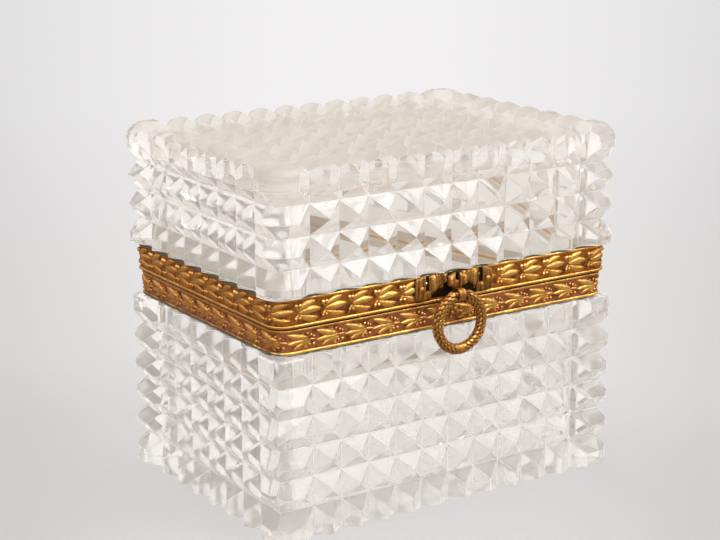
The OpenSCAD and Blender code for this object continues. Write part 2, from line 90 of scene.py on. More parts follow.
# One spray of each garland: along in pitches, across and widths in half the field's height,
# rises in the relief's height. A leaf is (root, tip, width, rise, bend), a berry (along, across,
# size), and seat says how far up a berry's middle lies and how deep it is then pressed in.
LID_SPRAY = {
    "leaves": (
        ((0.02, 0.0), (-0.13, 0.66), 0.34, 0.5, 0.0),
        ((0.02, -0.1), (-0.14, -0.86), 0.36, 0.5, 0.0),
        ((0.16, -0.62), (0.66, -0.96), 0.34, 0.45, -0.04),
        ((-0.02, -0.24), (0.78, -0.66), 0.62, 0.75, -0.16),
        ((-0.02, 0.12), (0.66, 0.90), 0.70, 0.95, 0.12),
        ((-0.04, -0.06), (0.88, 0.14), 0.76, 1.0, 0.05)),
    "berries": (
        (0.89, 0.62, 1.05), (1.03, 0.62, 1.05), (0.89, -0.50, 0.7), (1.03, -0.50, 0.7)),
    "seat": (0.55, 0.2 * MM),
}
BASE_SPRAY = {
    "leaves": (
        ((0.88, -0.24), (0.26, -0.90), 0.60, 0.75, -0.16),
        ((0.90, -0.10), (0.64, -0.96), 0.34, 0.55, -0.06),
        ((0.90, -0.04), (0.04, -0.22), 0.66, 0.85, -0.02),
        ((0.86, 0.10), (0.06, 0.86), 0.84, 1.0, 0.10),
        ((0.82, 0.0), (1.14, -0.06), 0.36, 0.6, 0.0)),
    "berries": (
        (0.62, 0.62, 0.525), (0.77, 0.66, 0.6), (0.90, 0.50, 0.675), (0.99, 0.34, 0.525),
        (0.84, -0.52, 0.6), (0.98, -0.50, 0.675), (0.74, -0.80, 0.45)),
    "seat": (0.4, 0.15 * MM),
}

# The camera: degrees from the front and above, its roll, what it looks at and from how far
AZIMUTH, ELEVATION, ROLL = -33.48, 14.71, -0.21
TARGET = Vector((-0.0342, -0.0455, 0.0825))
DISTANCE = 0.5277

# The floor, in metres
FLOOR_HALF = 3.0            # half its width
FLOOR_GAP = 0.05 * MM       # how far it lies under the casket
SHADE_FADES = (2.2, 2.9)    # how far from the casket its shade fades out
TURNS_PLAIN = (0.8, 1.3)    # how far from the camera's stand it turns plain
NEAREST = 0.05              # how near to the stand its shade is still worked out
DARKEST_SIDE = 0.16         # how dark it gets at most sideways
NEAR_SLOPES = (0.19, 0.43)  # how steeply the stand looks down on its middle and its front

# The soft boxes, each as name, place and width in metres, and what they point at
SOFT_BOXES = (("front_box", (0.32, -0.49, 0.81), 0.45), ("overhead_box", (-0.10, 0.20, 1.20), 0.90))
LAMP_AIM = Vector((0, 0, 0.05))


# ---- node helpers ----

class Nodes:
    """Adds nodes to a tree; every method but put returns a socket to link on."""

    def __init__(self, tree):
        self.tree = tree
        tree.nodes.clear()

    def put(self, kind, values=None, **settings):
        """A node; settings are its properties, values its inputs or the sockets that feed them."""
        node = self.tree.nodes.new(kind)
        for name, value in settings.items():
            setattr(node, name, value)
        for name, value in (values or {}).items():
            socket = node.inputs[name]
            if isinstance(value, bpy.types.NodeSocket):
                self.tree.links.new(value, socket)
            else:
                socket.default_value = (*value[:3], 1) if socket.type == "RGBA" else value
        return node

    def out(self, kind, values=None, output=0, **settings):
        """A node's output, by its number or name."""
        return self.put(kind, values, **settings).outputs[output]

    def maths(self, operation, *values, clamp=False):
        """A Math node on numbers or sockets."""
        return self.out("ShaderNodeMath", dict(enumerate(values)), operation=operation,
                        use_clamp=clamp)

    def plus(self, a, b, clamp=False):
        return self.maths("ADD", a, b, clamp=clamp)

    def minus(self, a, b, clamp=False):
        return self.maths("SUBTRACT", a, b, clamp=clamp)

    def times(self, a, b):
        return self.maths("MULTIPLY", a, b)

    def larger(self, a, b):
        return self.maths("MAXIMUM", a, b)

    def spread(self, value, start, end, low=0.0, high=1.0):
        """Maps a value from start..end to low..high, and holds it beyond them."""
        return self.out("ShaderNodeMapRange", {
            "Value": value, "From Min": start, "From Max": end, "To Min": low, "To Max": high})

    def vector(self, operation, *values, output=0):
        """A Vector Math node on vectors or sockets."""
        return self.out("ShaderNodeVectorMath", dict(enumerate(values)), output,
                        operation=operation)

    def scaled(self, vector, amount):
        """A vector times a number."""
        return self.out("ShaderNodeVectorMath", {0: vector, "Scale": amount}, operation="SCALE")

    def noise(self, vector, scale, detail=4.0, roughness=0.55):
        """Noise with a scale in cells to the metre."""
        return self.out("ShaderNodeTexNoise", {
            "Vector": vector, "Scale": scale, "Detail": detail, "Roughness": roughness})

    def ramp(self, factor, *stops):
        """A colour ramp through two (position, colour) stops."""
        node = self.put("ShaderNodeValToRGB", {"Fac": factor})
        for element, (position, colour) in zip(node.color_ramp.elements, stops):
            element.position = position
            element.color = (*colour, 1)
        return node.outputs["Color"]

    def blend(self, factor, a, b):
        """A mix of two colours, which a Mix node takes at 6 and 7 and gives at 2."""
        return self.out("ShaderNodeMix", {0: factor, 6: a, 7: b}, 2, data_type="RGBA")

    def mix(self, factor, a, b):
        """A mix of two shaders."""
        return self.out("ShaderNodeMixShader", {0: factor, 1: a, 2: b})

    def bump(self, height, strength, distance):
        return self.out("ShaderNodeBump", {
            "Height": height, "Strength": strength, "Distance": distance})

    def ray(self, kind):
        """1 for a ray of a kind, such as "Camera" or "Glossy"."""
        return self.out("ShaderNodeLightPath", output=f"Is {kind} Ray")

    def glass_ray(self):
        """1 for a ray that the crystal passes on or mirrors sharply."""
        return self.larger(self.ray("Singular"), self.ray("Transmission"))

    def gilt_ray(self):
        """1 for a ray that the gilt mirrors."""
        return self.minus(self.ray("Glossy"), self.glass_ray(), clamp=True)


class Finish(Nodes):
    """The nodes of a new material; place and its x, y and z are the piece's own coordinates."""

    def __init__(self, name):
        self.material = bpy.data.materials.new(name)
        self.material.use_nodes = True
        super().__init__(self.material.node_tree)
        self.place = self.out("ShaderNodeTexCoord", output="Object")
        self.x, self.y, self.z = self.put("ShaderNodeSeparateXYZ", {0: self.place}).outputs

    def made_of(self, shader):
        """Ends the nodes in a shader and returns the material."""
        self.put("ShaderNodeOutputMaterial", {"Surface": shader})
        return self.material


# ---- mesh helpers ----

def mend(mesh, close=False):
    """Welds a mesh, closes its open ends if asked and turns its faces outwards."""
    bm = bmesh.new()
    bm.from_mesh(mesh)
    bmesh.ops.remove_doubles(bm, verts=bm.verts, dist=WELD)
    if close:
        bmesh.ops.holes_fill(bm, edges=[e for e in bm.edges if e.is_boundary])
    bmesh.ops.recalc_face_normals(bm, faces=bm.faces)
    bm.to_mesh(mesh)
    bm.free()


def new_object(name, data):
    """An object in the scene."""
    obj = bpy.data.objects.new(name, data)
    bpy.context.scene.collection.objects.link(obj)
    return obj


def plain_mesh(name, points, faces, material):
    """A smooth mesh object from points in metres."""
    mesh = bpy.data.meshes.new(name)
    mesh.from_pydata(points, [], faces)
    mend(mesh)
    mesh.shade_smooth()
    mesh.materials.append(material)
    return new_object(name, mesh)


def assign(material, *nodes):
    """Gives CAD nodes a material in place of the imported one."""
    for node in nodes:
        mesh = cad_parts[node].data
        mesh.materials.clear()
        mesh.materials.append(material)


def fasten(obj, body, node):
    """Rides a finished piece on its body and hides the CAD node it stands for."""
    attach(obj, body)
    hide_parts(node)


def middle(box):
    """The middle of a box of two corners."""
    return [(low + high) / 2 for low, high in zip(*box)]


def on_arc(radius, angle, x=0.0, y=0.0):
    """The point at an angle, in radians, of a circle round (x, y)."""
    return x + radius * cos(angle), y + radius * sin(angle)


def circle(radius, sides, x=0.0, y=0.0):
    """Points round a circle."""
    return [on_arc(radius, 2 * pi * k / sides, x, y) for k in range(sides)]


def skin(rows, columns, first=0, closed=False):
    """Faces over rows of points; closed joins the last point of each row to its first."""
    return [(a + c, a + columns + c, a + columns + (c + 1) % columns, a + (c + 1) % columns)
            for a in range(first, first + (rows - 1) * columns, columns)
            for c in range(columns if closed else columns - 1)]


def spindle(rows, columns, closed=False):
    """Faces over rows of points that run together in one point at either end."""
    last = rows * columns + 1
    faces = skin(rows, columns, 1, closed)
    for c in range(columns if closed else columns - 1):
        n = (c + 1) % columns
        faces += [(0, 1 + c, 1 + n), (last, last - columns + n, last - columns + c)]
    return faces


class Relief:
    """Closed shells gathered into one mesh; a point is (along, across, up), up off the ground."""

    def __init__(self, height):
        self.height = height
        self.points, self.faces, self.rise = [], [], []

    def add(self, points, faces, lay=None):
        """Adds a shell; lay turns (along, across, up) into its place in the mesh."""
        first = len(self.points)
        self.rise += [min(max(up / self.height, 0.0), 1.0) for _, _, up in points]
        self.points += [lay(*p) if lay else (p[0], -p[2], p[1]) for p in points]
        self.faces += [[first + i for i in face] for face in faces]

    def leaf(self, start, end, width, height, bend=0.0, sink=0.1 * MM, lay=None, rows=8, half=3):
        """A pointed leaf from start to end, domed, with a groove down its middle."""
        length = dist(start, end)
        ux, uy = ((e - s) / length for s, e in zip(start, end))
        points = [(*start, -sink)]
        for row in range(1, rows):
            t = row / rows
            arch = sin(pi * t)
            wide = width / 2 * sin(pi * t ** 0.85) ** 0.6
            for column in range(-half, half + 1):
                s = column / half
                across = wide * s + bend * arch
                dome = (1 - abs(s) ** 1.5) ** 0.85 - 0.2 * exp(-(s / 0.2) ** 2)
                up = height * arch ** 0.35 * dome if abs(s) < 1 else -sink
                points.append((start[0] + ux * t * length - uy * across,
                               start[1] + uy * t * length + ux * across, up))
        points.append((*end, -sink))
        last, columns = len(points) - 1, 2 * half + 1
        back = [0, *range(1, last, columns), last, *range(last - 1, 0, -columns)]
        self.add(points, [*spindle(rows - 1, columns), back], lay)

    def berry(self, place, radius, up, rings=6, sides=8):
        """A round berry at (along, across), its middle up off the ground."""
        points = [(*place, up - radius)]
        for ring in range(1, rings):
            lift, girth = on_arc(radius, pi * ring / rings)
            points += [(*spot, up - lift) for spot in circle(girth, sides, *place)]
        points.append((*place, up + radius))
        self.add(points, spindle(rings - 1, sides, closed=True))

    def strip(self, length, height, thick, columns=6, rows=5):
        """One repeat of the ground: a box section, open at both ends."""
        section = [(-height / 2 + height * k / rows, 0.0) for k in range(rows + 1)]
        section += [(height / 2, -thick), (-height / 2, -thick)]
        self.tube(length, section, columns)

    def tube(self, length, section, columns, swell=lambda t: 1.0):
        """A closed section of (across, up) run along; swell scales it, t from 0 to 1."""
        points = [(length * c / columns, across * swell(c / columns), up * swell(c / columns))
                  for c in range(columns + 1) for across, up in section]
        self.add(points, skin(columns + 1, len(section), closed=True))

    def panel(self, top, bottom, width, thick, ribs, lean=0.0, rows=8, offset=0.0):
        """A pleated piece of ribbon; top and bottom give its edges, t from 0 to 1 across."""
        columns = ribs * 6
        points = []
        for c in range(columns + 1):
            t = c / columns
            for r in range(rows + 1):
                v = r / rows
                side = min(t, 1 - t) * columns / 2
                edge = min(1.0, 0.45 + 0.55 * min(side, min(v, 1 - v) * rows / 1.5))
                fold = t * ribs + 0.3 * sin(4 * pi * t + lean) + lean * v
                pleat = abs(sin(pi * fold)) ** 0.7 * (0.8 + 0.2 * cos(9 * t))
                points.append((offset + width * t, bottom(t) + (top(t) - bottom(t)) * v,
                               thick * edge * (0.3 + 0.7 * pleat)))
        # The rim is let down to the ground, and a flat back closes it
        first, n = len(points), rows + 1
        rim = [*range(0, first - n, n), *range(first - n, first - 1),
               *range(first - 1, rows, -n), *range(rows, 0, -1)]
        points += [(*points[i][:2], 0.0) for i in rim]
        foot = list(range(first, len(points)))
        walls = zip(rim, foot, foot[1:] + foot[:1], rim[1:] + rim[:1])
        self.add(points, [*skin(columns + 1, n), *walls, foot[::-1]])

    def mesh(self, name, material, place=(0.0, 0.0, 0.0), mirror=False):
        """The gathered shells as an object, moved to their place, with a copy across x = 0."""
        points = [tuple(p + q for p, q in zip(point, place)) for point in self.points]
        faces, rise = list(self.faces), list(self.rise)
        if mirror:
            count = len(points)
            points += [(-x, y, z) for x, y, z in points]
            faces += [[count + i for i in reversed(face)] for face in faces]
            rise += rise
        obj = plain_mesh(name, points, faces, material)
        store_rise(obj.data, points, rise)
        return obj


def store_rise(mesh, points, rise):
    """Keeps how far each point of the relief stands off the ground, from 0 to 1."""
    def spot(point):
        return tuple(round(c / WELD) for c in point)

    known = {spot(point): value for point, value in zip(points, rise)}
    attribute = mesh.attributes.new("rise", "FLOAT", "POINT")
    for vertex, item in zip(mesh.vertices, attribute.data):
        item.value = known.get(spot(vertex.co), 0.5)


def path_curve(points, closed=False):
    """A curve of straight pieces through close points, and its length."""
    data = bpy.data.curves.new("path", "CURVE")
    data.dimensions = "3D"
    spline = data.splines.new("POLY")
    spline.points.add(len(points) - 1)
    for point, place in zip(spline.points, points):
        point.co = (*place, 1)
    spline.use_cyclic_u = closed
    ends = points + points[:1] if closed else points
    return new_object("path", data), sum(dist(a, b) for a, b in zip(ends, ends[1:]))


def rounded_rectangle(half_w, half_d, radius, z, step=0.8 * MM):
    """Close points round a rectangle, anticlockwise from the middle of its front."""
    w, d = half_w - radius, half_d - radius
    points = []

    def run(length, place):
        """Points a step apart; place turns the length done so far into (x, y)."""
        count = max(1, round(length / step))
        points.extend((*place(length * k / count), z) for k in range(count))

    run(w, lambda done: (done, -half_d))
    for x, y, first, way_x, way_y, length in (
            (w, -d, -90, 0, 1, 2 * d), (w, d, 0, -1, 0, 2 * w),
            (-w, d, 90, 0, -1, 2 * d), (-w, -d, 180, 1, 0, w)):
        run(pi / 2 * radius,
            lambda done: on_arc(radius, radians(first) + done / radius, x, y))
        start_x, start_y = on_arc(radius, radians(first + 90), x, y)
        run(length, lambda done: (start_x + way_x * done, start_y + way_y * done))
    return points


def run_along_tree():
    """Geometry Nodes that repeat the object's own mesh along a path and bend it to fit."""
    tree = bpy.data.node_groups.new("run_along", "GeometryNodeTree")
    for name, kind in (("Geometry", "Geometry"), ("Path", "Object"), ("Count", "Int"),
                       ("Pitch", "Float"), ("Start", "Float"), ("Axis", "Vector"),
                       ("Waver", "Float"), ("Seed", "Float"), ("Material", "Material")):
        tree.interface.new_socket(name, in_out="INPUT", socket_type=f"NodeSocket{kind}")
    tree.interface.new_socket("Geometry", in_out="OUTPUT", socket_type="NodeSocketGeometry")
    net = Nodes(tree)
    given = net.put("NodeGroupInput").outputs

    # Repeats on a straight line along X
    offset = net.out("ShaderNodeCombineXYZ", {"X": given["Pitch"]})
    line = net.out("GeometryNodeMeshLine", {"Count": given["Count"], "Offset": offset})
    repeats = net.out("GeometryNodeInstanceOnPoints", {
        "Points": line, "Instance": given["Geometry"]})
    straight = net.out("GeometryNodeRealizeInstances", {"Geometry": repeats})

    # X runs along the path, Z along the axis and Y square to both
    path = net.out("GeometryNodeObjectInfo", {"Object": given["Path"]}, "Geometry")
    full = net.out("GeometryNodeCurveLength", {"Curve": path})
    place = net.out("GeometryNodeInputPosition")
    x, y, z = net.put("ShaderNodeSeparateXYZ", {0: place}).outputs
    along = net.maths("FLOORED_MODULO", net.plus(x, given["Start"]), full)
    at = net.put("GeometryNodeSampleCurve", {"Curves": path, "Length": along},
                 mode="LENGTH").outputs
    square = net.vector("NORMALIZE", net.vector("CROSS_PRODUCT", given["Axis"], at["Tangent"]))
    bent = net.vector("ADD", at["Position"], net.scaled(square, y))
    bent = net.vector("ADD", bent, net.scaled(given["Axis"], z))

    # The raised parts waver as hand-chased work does
    rise = net.out("GeometryNodeInputNamedAttribute", {"Name": "rise"}, "Attribute",
                   data_type="FLOAT")
    drift = net.out("ShaderNodeTexNoise", {
        "Vector": bent, "W": given["Seed"], "Scale": WAVER_CELLS, "Detail": 1.0}, "Color",
        noise_dimensions="4D")
    amount = net.times(net.maths("MINIMUM", net.times(rise, 4.0), 1.0), given["Waver"])
    sway = net.scaled(net.vector("SUBTRACT", drift, (0.5, 0.5, 0.5)), amount)
    moved = net.out("GeometryNodeSetPosition", {
        "Geometry": straight, "Position": net.vector("ADD", bent, sway)})
    welded = net.out("GeometryNodeMergeByDistance", {"Geometry": moved, "Distance": REPEAT_WELD})
    whole = net.out("GeometryNodeRealizeInstances", {"Geometry": welded})
    dressed = net.out("GeometryNodeSetMaterial", {
        "Geometry": whole, "Material": given["Material"]})
    net.put("NodeGroupOutput", {"Geometry": dressed})
    return tree


def run_along(obj, path, material, **inputs):
    """Repeats an object's mesh along a path and leaves it as a plain mesh."""
    tree = bpy.data.node_groups.get("run_along") or run_along_tree()
    modifier = obj.modifiers.new("run_along", "NODES")
    modifier.node_group = tree
    names = {item.name: item.identifier for item in tree.interface.items_tree
             if item.in_out == "INPUT"}
    for name, value in {"Path": path, "Material": material, **inputs}.items():
        modifier[names[name]] = value
    obj.update_tag()
    graph = bpy.context.evaluated_depsgraph_get()
    mesh = bpy.data.meshes.new_from_object(obj.evaluated_get(graph))
    obj.modifiers.clear()
    obj.data = mesh
    bpy.data.objects.remove(path)
    if not mesh.polygons:
        raise RuntimeError(f"{obj.name} came out empty")
    mend(mesh, close=True)
    mesh.shade_smooth()
    mesh.set_sharp_from_angle(angle=SHARP_ANGLE)
    return obj


# ---- materials ----

def crystal_finish(name, settings, haze):
    """Clear cut crystal: worn edges painted white as a highlight, a haze in the glass, a rubbed and
    hazier top.
    """
    net = Finish(name)
    # The rubbed top is what lies flat within a few millimetres of the lid's top
    normal = net.out("ShaderNodeNewGeometry", output="Normal")
    lying = net.maths("ABSOLUTE", net.out("ShaderNodeSeparateXYZ", {0: normal}, "Z"))
    top = net.times(net.spread(lying, 0.35, 0.7, 0.15, 1.0),
                    net.spread(net.z, LID_TOP - 6 * MM, LID_TOP - 3.6 * MM))

    # Where the eased normal leaves the true one, an edge is worn, and there it is painted white as
    # a highlight
    eased = net.out("ShaderNodeBevel", {"Radius": settings.edge}, samples=4)
    bent = net.minus(1.0, net.vector("DOT_PRODUCT", normal, eased, output="Value"))
    streaks = net.spread(net.noise(net.place, STREAKS, 2.0), 0.35, 0.6, 0.5, 1.0)
    wear_and_painted_light = net.times(net.spread(bent, 0.002, 0.03, 0.0, settings.edge_highlight_share),
                     net.times(streaks, net.spread(top, 0.0, 1.0, 1.0, 0.5)))
    glass = net.out("ShaderNodeBsdfPrincipled", {
        "Base Color": settings.tint, "Transmission Weight": 1.0, "IOR": CRYSTAL_IOR,
        "Roughness": net.times(top, settings.rubbed), "Normal": eased})

    # The haze scatters light back and through alike
    milk = {"Color": net.blend(top, settings.milk, settings.rubbed_milk)}
    cloudy = net.mix(0.5, net.out("ShaderNodeBsdfDiffuse", milk),
                     net.out("ShaderNodeBsdfTranslucent", milk))
    smudged = net.times(net.spread(net.noise(net.place, SMUDGES, 5.0), 0.35, 0.7, 0.6, 1.3), haze)
    hazy = net.plus(smudged, net.times(top, settings.top_haze), clamp=True)
    body = net.mix(hazy, glass, cloudy)
    # Painted highlight: a white matt laid over the worn edges
    edge_highlight_white = net.out("ShaderNodeBsdfDiffuse", {"Color": settings.edge_highlight_white})
    return net.made_of(net.mix(wear_and_painted_light, body, edge_highlight_white))


def gilt_finish(name, settings, bright=None, dull=None, hollow_patina_and_shade=None, depth=0.55,
                roughness=0.26, tarnish=0.0, meeting=None):
    """Gilt brass with dull patches, a left side painted duller as shade and tarnish, and burnished
    crests, brightened also as a painted highlight.

    The hollow colour is what it darkens to up to a depth of its rise, as patina and painted shade,
    and tarnish dulls it all over. meeting is for a
    frame: (band, height of the face that meets the other frame, how dark that face's outer lip is
    painted as shade).
    """
    net = Finish(name)
    patches = net.noise(net.place, PATCHES, 6.0, 0.6)
    grain = net.noise(net.place, GRAIN, 3.0, 0.6)
    # Within 6 mm of the left side the gilt is painted duller: partly tarnish, partly shade, as less
    # light falls on that side
    left = BASE_BAND[0][0]
    left_shade_and_tarnish = net.spread(net.x, left, left + 6 * MM, 0.6, 0.0)
    # The dull mix holds the worn patches, tarnish and the left side's painted shade
    wear_and_painted_light = net.plus(net.spread(patches, 0.35, 0.7), net.plus(left_shade_and_tarnish, tarnish), clamp=True)
    colour = net.blend(wear_and_painted_light, bright or settings.bright, dull or settings.dull)
    rough = net.plus(net.spread(patches, 0.0, 1.0, roughness - 0.06, roughness + 0.16),
                     net.spread(grain, 0.0, 1.0, -0.04, 0.06))
    metal = 1.0
    if hollow_patina_and_shade:
        # Crests are burnished where they aren't worn, and their brighter colour is also a painted
        # highlight
        rise = net.out("ShaderNodeAttribute", output="Fac", attribute_name="rise")
        crest_burnish_and_highlight = net.times(net.spread(rise, 0.6, 0.95, 0.0, 0.8),
                          net.spread(wear_and_painted_light, 0.0, 1.0, 1.0, 0.3))
        colour = net.blend(crest_burnish_and_highlight, colour, settings.burnish_and_highlight)
        rough = net.minus(rough, net.times(crest_burnish_and_highlight, 0.08))
        # The hollows are painted dark, brown and a little rougher, by how low they lie: patina and
        # painted shade in one
        low = net.plus(rise, net.spread(patches, 0.3, 0.7, -0.10, 0.10))
        shade = net.spread(low, 0.1 * depth, depth, 1.0, 0.0)
        mottled = net.blend(net.spread(net.noise(net.place, MOTTLES), 0.48, 0.6, 0.0, 0.7),
                            hollow_patina_and_shade, settings.tarnish_and_hollow_shade)
        colour = net.blend(shade, colour, mottled)
        rough = net.plus(rough, net.times(shade, 0.12))
        metal = net.spread(shade, 0.0, 1.0, 1.0, 0.8)
    # Frames: plaster smears, grime along the glass, and painted shade on the seam's lip and down
    # the left side
    if meeting:
        limed, grime_and_shade = frame_wear_and_shade(net, patches, *meeting)
        colour = net.blend(limed, colour, settings.limed)
        colour = net.blend(grime_and_shade, colour, settings.dark)
        metal = net.minus(1.0, net.larger(limed, grime_and_shade))
        rough = net.larger(rough, net.times(limed, 0.6))
    chased = net.bump(net.plus(grain, net.times(patches, 1.5)), 0.9, 0.28 * MM)
    return net.made_of(net.out("ShaderNodeBsdfPrincipled", {
        "Base Color": colour, "Metallic": metal, "Roughness": rough, "Normal": chased}))


def ornament_finish(name, settings, tarnish):
    """Gilt of the cast ornament, painted dark almost up to its crests: patina, and painted shade
    between its leaves and pleats.
    """
    return gilt_finish(name, settings, hollow_patina_and_shade=settings.tarnish_and_hollow_shade, depth=0.95, tarnish=tarnish)


def frame_wear_and_shade(net, patches, band, seam, seam_shade):
    """Where a frame's inner legs are limed by the plaster, and where it is painted dark: shade on
    the seam's outer lip, grime along the glass.
    """
    off_seam = net.maths("ABSOLUTE", net.minus(net.z, seam))
    outside = past_band(net, band)
    limed = net.times(net.spread(outside, -1.6 * MM, -1.2 * MM, 1.0, 0.0),
                      net.spread(off_seam, 0.9 * MM, 1.2 * MM))
    # The outer lip of the face at the seam is painted dark as shade
    lip = net.times(net.spread(outside, -1.4 * MM, -1.1 * MM),
                    net.spread(off_seam, 0.08 * MM, 0.25 * MM, seam_shade, 0.0))

    # Grime along the glass, widened down the left side as painted shade
    (left, _, low), (_, _, high) = band
    reach = net.plus(net.spread(net.x, left, left + 4 * MM, 0.7 * MM, 0.0),
                     net.spread(patches, 0.35, 0.65, -0.1 * MM, 0.35 * MM))
    by_glass = net.maths("GREATER_THAN", off_seam, net.minus(high - low, reach))
    return limed, net.larger(lip, net.times(by_glass, 0.85))


def past_band(net, band):
    """How far a point stands outside a band's outer face; inside it is below zero."""
    return net.larger(*(net.minus(net.maths("ABSOLUTE", axis), half)
                        for axis, half in zip((net.x, net.y), band[1])))


def plaster_finish(name, settings, band):
    """Pale plaster, stained dark green by the brass where it comes out at the band's edge, and
    glowing as painted light where it is seen through the crystal.
    """
    net = Finish(name)
    stain = net.noise(net.place, STAINS, 5.0, 0.6)
    depth = net.plus(past_band(net, band), net.spread(stain, 0.3, 0.7, -0.2 * MM, 0.2 * MM))
    dirt = net.ramp(stain, (0.42, settings.grime_and_shade), (0.62, settings.verdigris))
    matt = net.out("ShaderNodeBsdfPrincipled", {
        "Base Color": net.blend(net.spread(depth, -0.8 * MM, -0.45 * MM), settings.plaster, dirt),
        "Roughness": 0.85, "Normal": net.bump(net.noise(net.place, PLASTER_GRAIN), 0.5, 0.2 * MM)})
    # Painted light: the bed glows, an emission, for rays seen through the crystal, in place of the
    # light the crystal gathers on it
    painted_glow = net.out("ShaderNodeEmission", {
        "Color": net.ramp(stain, (0.35, settings.gathered), (0.70, settings.plaster))})
    return net.made_of(net.mix(net.ray("Transmission"), matt, painted_glow))


# ---- settings ----

def colour_prop(name, description, default):
    return FloatVectorProperty(name=name, description=description, default=default,
                               subtype="COLOR", min=0.0, max=1.0, size=3)


def number_prop(name, description, default, **rest):
    """A number from 0 up."""
    return FloatProperty(name=name, description=description, default=default, min=0.0, **rest)


def length_prop(name, description, default_mm):
    return number_prop(name, description, default_mm * MM, unit="LENGTH", precision=5)


def share_prop(name, description, default):
    return number_prop(name, description, default, max=1.0, subtype="FACTOR")


def count_prop(name, description, default, least):
    return IntProperty(name=name, description=description, default=default, min=least)


class CrystalSettings(bpy.types.PropertyGroup):
    tint: colour_prop("Tint", "Colour of the crystal", (1.0, 0.998, 0.993))
    milk: colour_prop("Milk", "Colour of the haze", (0.97, 0.943, 0.915))
    rubbed_milk: colour_prop(
        "Rubbed Milk", "Colour of the haze on the rubbed top", (0.85, 0.79, 0.73))
    # The white painted on the worn edges as a highlight
    edge_highlight_white: colour_prop("Frost", "Colour of the worn edges", (1.0, 0.99, 0.975))
    haze: share_prop("Haze", "How milky the lid's crystal is", 0.20)
    base_haze: share_prop("Base Haze", "How milky the base's crystal is", 0.25)
    top_haze: share_prop("Top Haze", "How much milkier the rubbed top is", 0.42)
    rubbed: share_prop("Rubbed Top", "Roughness of the rubbed top", 0.10)
    # How strongly the worn edges are painted white as a highlight
    edge_highlight_share: share_prop("Edge Wear", "How white the worn edges are", 1.0)
    edge: length_prop("Edge", "Width over which the cut edges are eased", 0.24)


class MountSettings(bpy.types.PropertyGroup):
    bright: colour_prop("Bright Gilt", "Gilt where it is burnished", (0.93, 0.58, 0.16))
    # Gilt of the crests: burnish, and a painted highlight as well
    burnish_and_highlight: colour_prop("Burnished", "Gilt on the crests of the ornament", (1.0, 0.76, 0.33))
    # Also the colour that the left side is painted toward as shade
    dull: colour_prop("Dull Gilt", "Gilt where it is worn or tarnished", (0.56, 0.27, 0.065))
    # The garlands' hollows darken to these, as patina and painted shade
    ground: colour_prop("Ground", "Brown ground of the lid's garland", (0.45, 0.17, 0.035))
    recess: colour_prop("Recess", "Red-brown ground of the base's garland", (0.46, 0.19, 0.085))
    # Patina and painted shade in the ornament's hollows; also the tarnish of the pins and rivets
    tarnish_and_hollow_shade: colour_prop("Tarnished", "Hollows of the bow and the ring", (0.10, 0.038, 0.016))
    # Black painted as shadow: the sheet behind the bow, the seam's lip, and the edge by the glass,
    # where it is partly grime
    dark: colour_prop("Dark Ground", "Blackened ground behind the bow", (0.03, 0.02, 0.012))
    limed: colour_prop("Limed Gilt", "Gilt under the plaster's smears", (0.50, 0.40, 0.29))
    plaster: colour_prop("Plaster", "Plaster bed", (0.90, 0.86, 0.80))
    # The darker colour of the bed's painted glow
    gathered: colour_prop(
        "Plaster Shade", "Plaster where less light gathers on it", (0.76, 0.70, 0.61))
    grime_and_shade: colour_prop("Grime", "Dirt at the plaster's edge", (0.09, 0.085, 0.06))
    verdigris: colour_prop("Verdigris", "Green stain on the plaster", (0.17, 0.19, 0.11))


class GarlandSettings(bpy.types.PropertyGroup):
    lid_sprays: count_prop("Lid Sprays", "Sprays round the lid's band", 46, 8)
    base_sprays: count_prop("Base Sprays", "Sprays round the base's band", 42, 8)
    relief: length_prop("Relief", "Height of the leaves over their ground", 0.8)
    berry: length_prop("Berry", "Radius of a berry of size 1", 0.72)
    waver: length_prop("Waver", "How far the chased leaves waver", 0.65)
    seed: FloatProperty(name="Seed", description="Which way each leaf wavers", default=3.0)


class PullSettings(bpy.types.PropertyGroup):
    leaf_rows: count_prop("Leaf Rows", "Rows of leaves on each half of the ring", 15, 4)
    core: FloatProperty(name="Core", default=0.70, min=0.4, max=0.9,
                        description="Radius of the ring's core to its full radius")
    tie: length_prop("Tie", "Width of the ribbon that ties the ring's foot", 4.6)
    pleats: count_prop("Pleats", "Pleats of the bow's tail", 4, 1)


class StageSettings(bpy.types.PropertyGroup):
    floor: colour_prop("Floor", "Colour of the floor", (0.89, 0.875, 0.88))
    pale: colour_prop(
        "Pale Floor", "The floor as it shows through the crystal", (1.0, 0.968, 0.935))
    sky: colour_prop("Surroundings", "Colour of the pale surroundings", (1.0, 0.97, 0.94))
    room: colour_prop("Room", "Darker side of the room, behind the camera", (0.86, 0.81, 0.76))
    dim: colour_prop(
        "Dim Room", "The low parts of the room as the gilt mirrors them", (0.42, 0.34, 0.25))
    side_shade: number_prop("Side Shade", "How much the floor darkens sideways", 3.6)
    near_shade: share_prop("Near Shade", "How much the floor darkens in front", 0.10)
    fill: share_prop("Fill", "How far the casket's shadow is filled in", 0.5)
    pale_light: number_prop("Pale Floor Light", "Strength of the floor through the crystal", 1.12)
    ceiling: number_prop("Ceiling", "Strength of the ceiling in the front's upper facets", 2.3)
    sky_light: number_prop(
        "Surroundings Light", "Strength of the light from the surroundings", 0.55)
    clear_light: number_prop(
        "Clear Light", "Strength of the surroundings in and through things", 1.08)
    key: number_prop("Key", "Strength added high in front in the gilt's reflections", 2.4)
    front_light: number_prop("Front Light", "Power of the front soft box", 2.1, unit="POWER")
    overhead_light: number_prop("Overhead Light", "Power of the overhead box", 5.0, unit="POWER")
    lens: FloatProperty(
        name="Lens", description="Focal length", default=86.85, unit="CAMERA", min=1.0)
    bounces: count_prop("Bounces", "Light bounces followed in the crystal", 24, 4)


# ---- operators ----

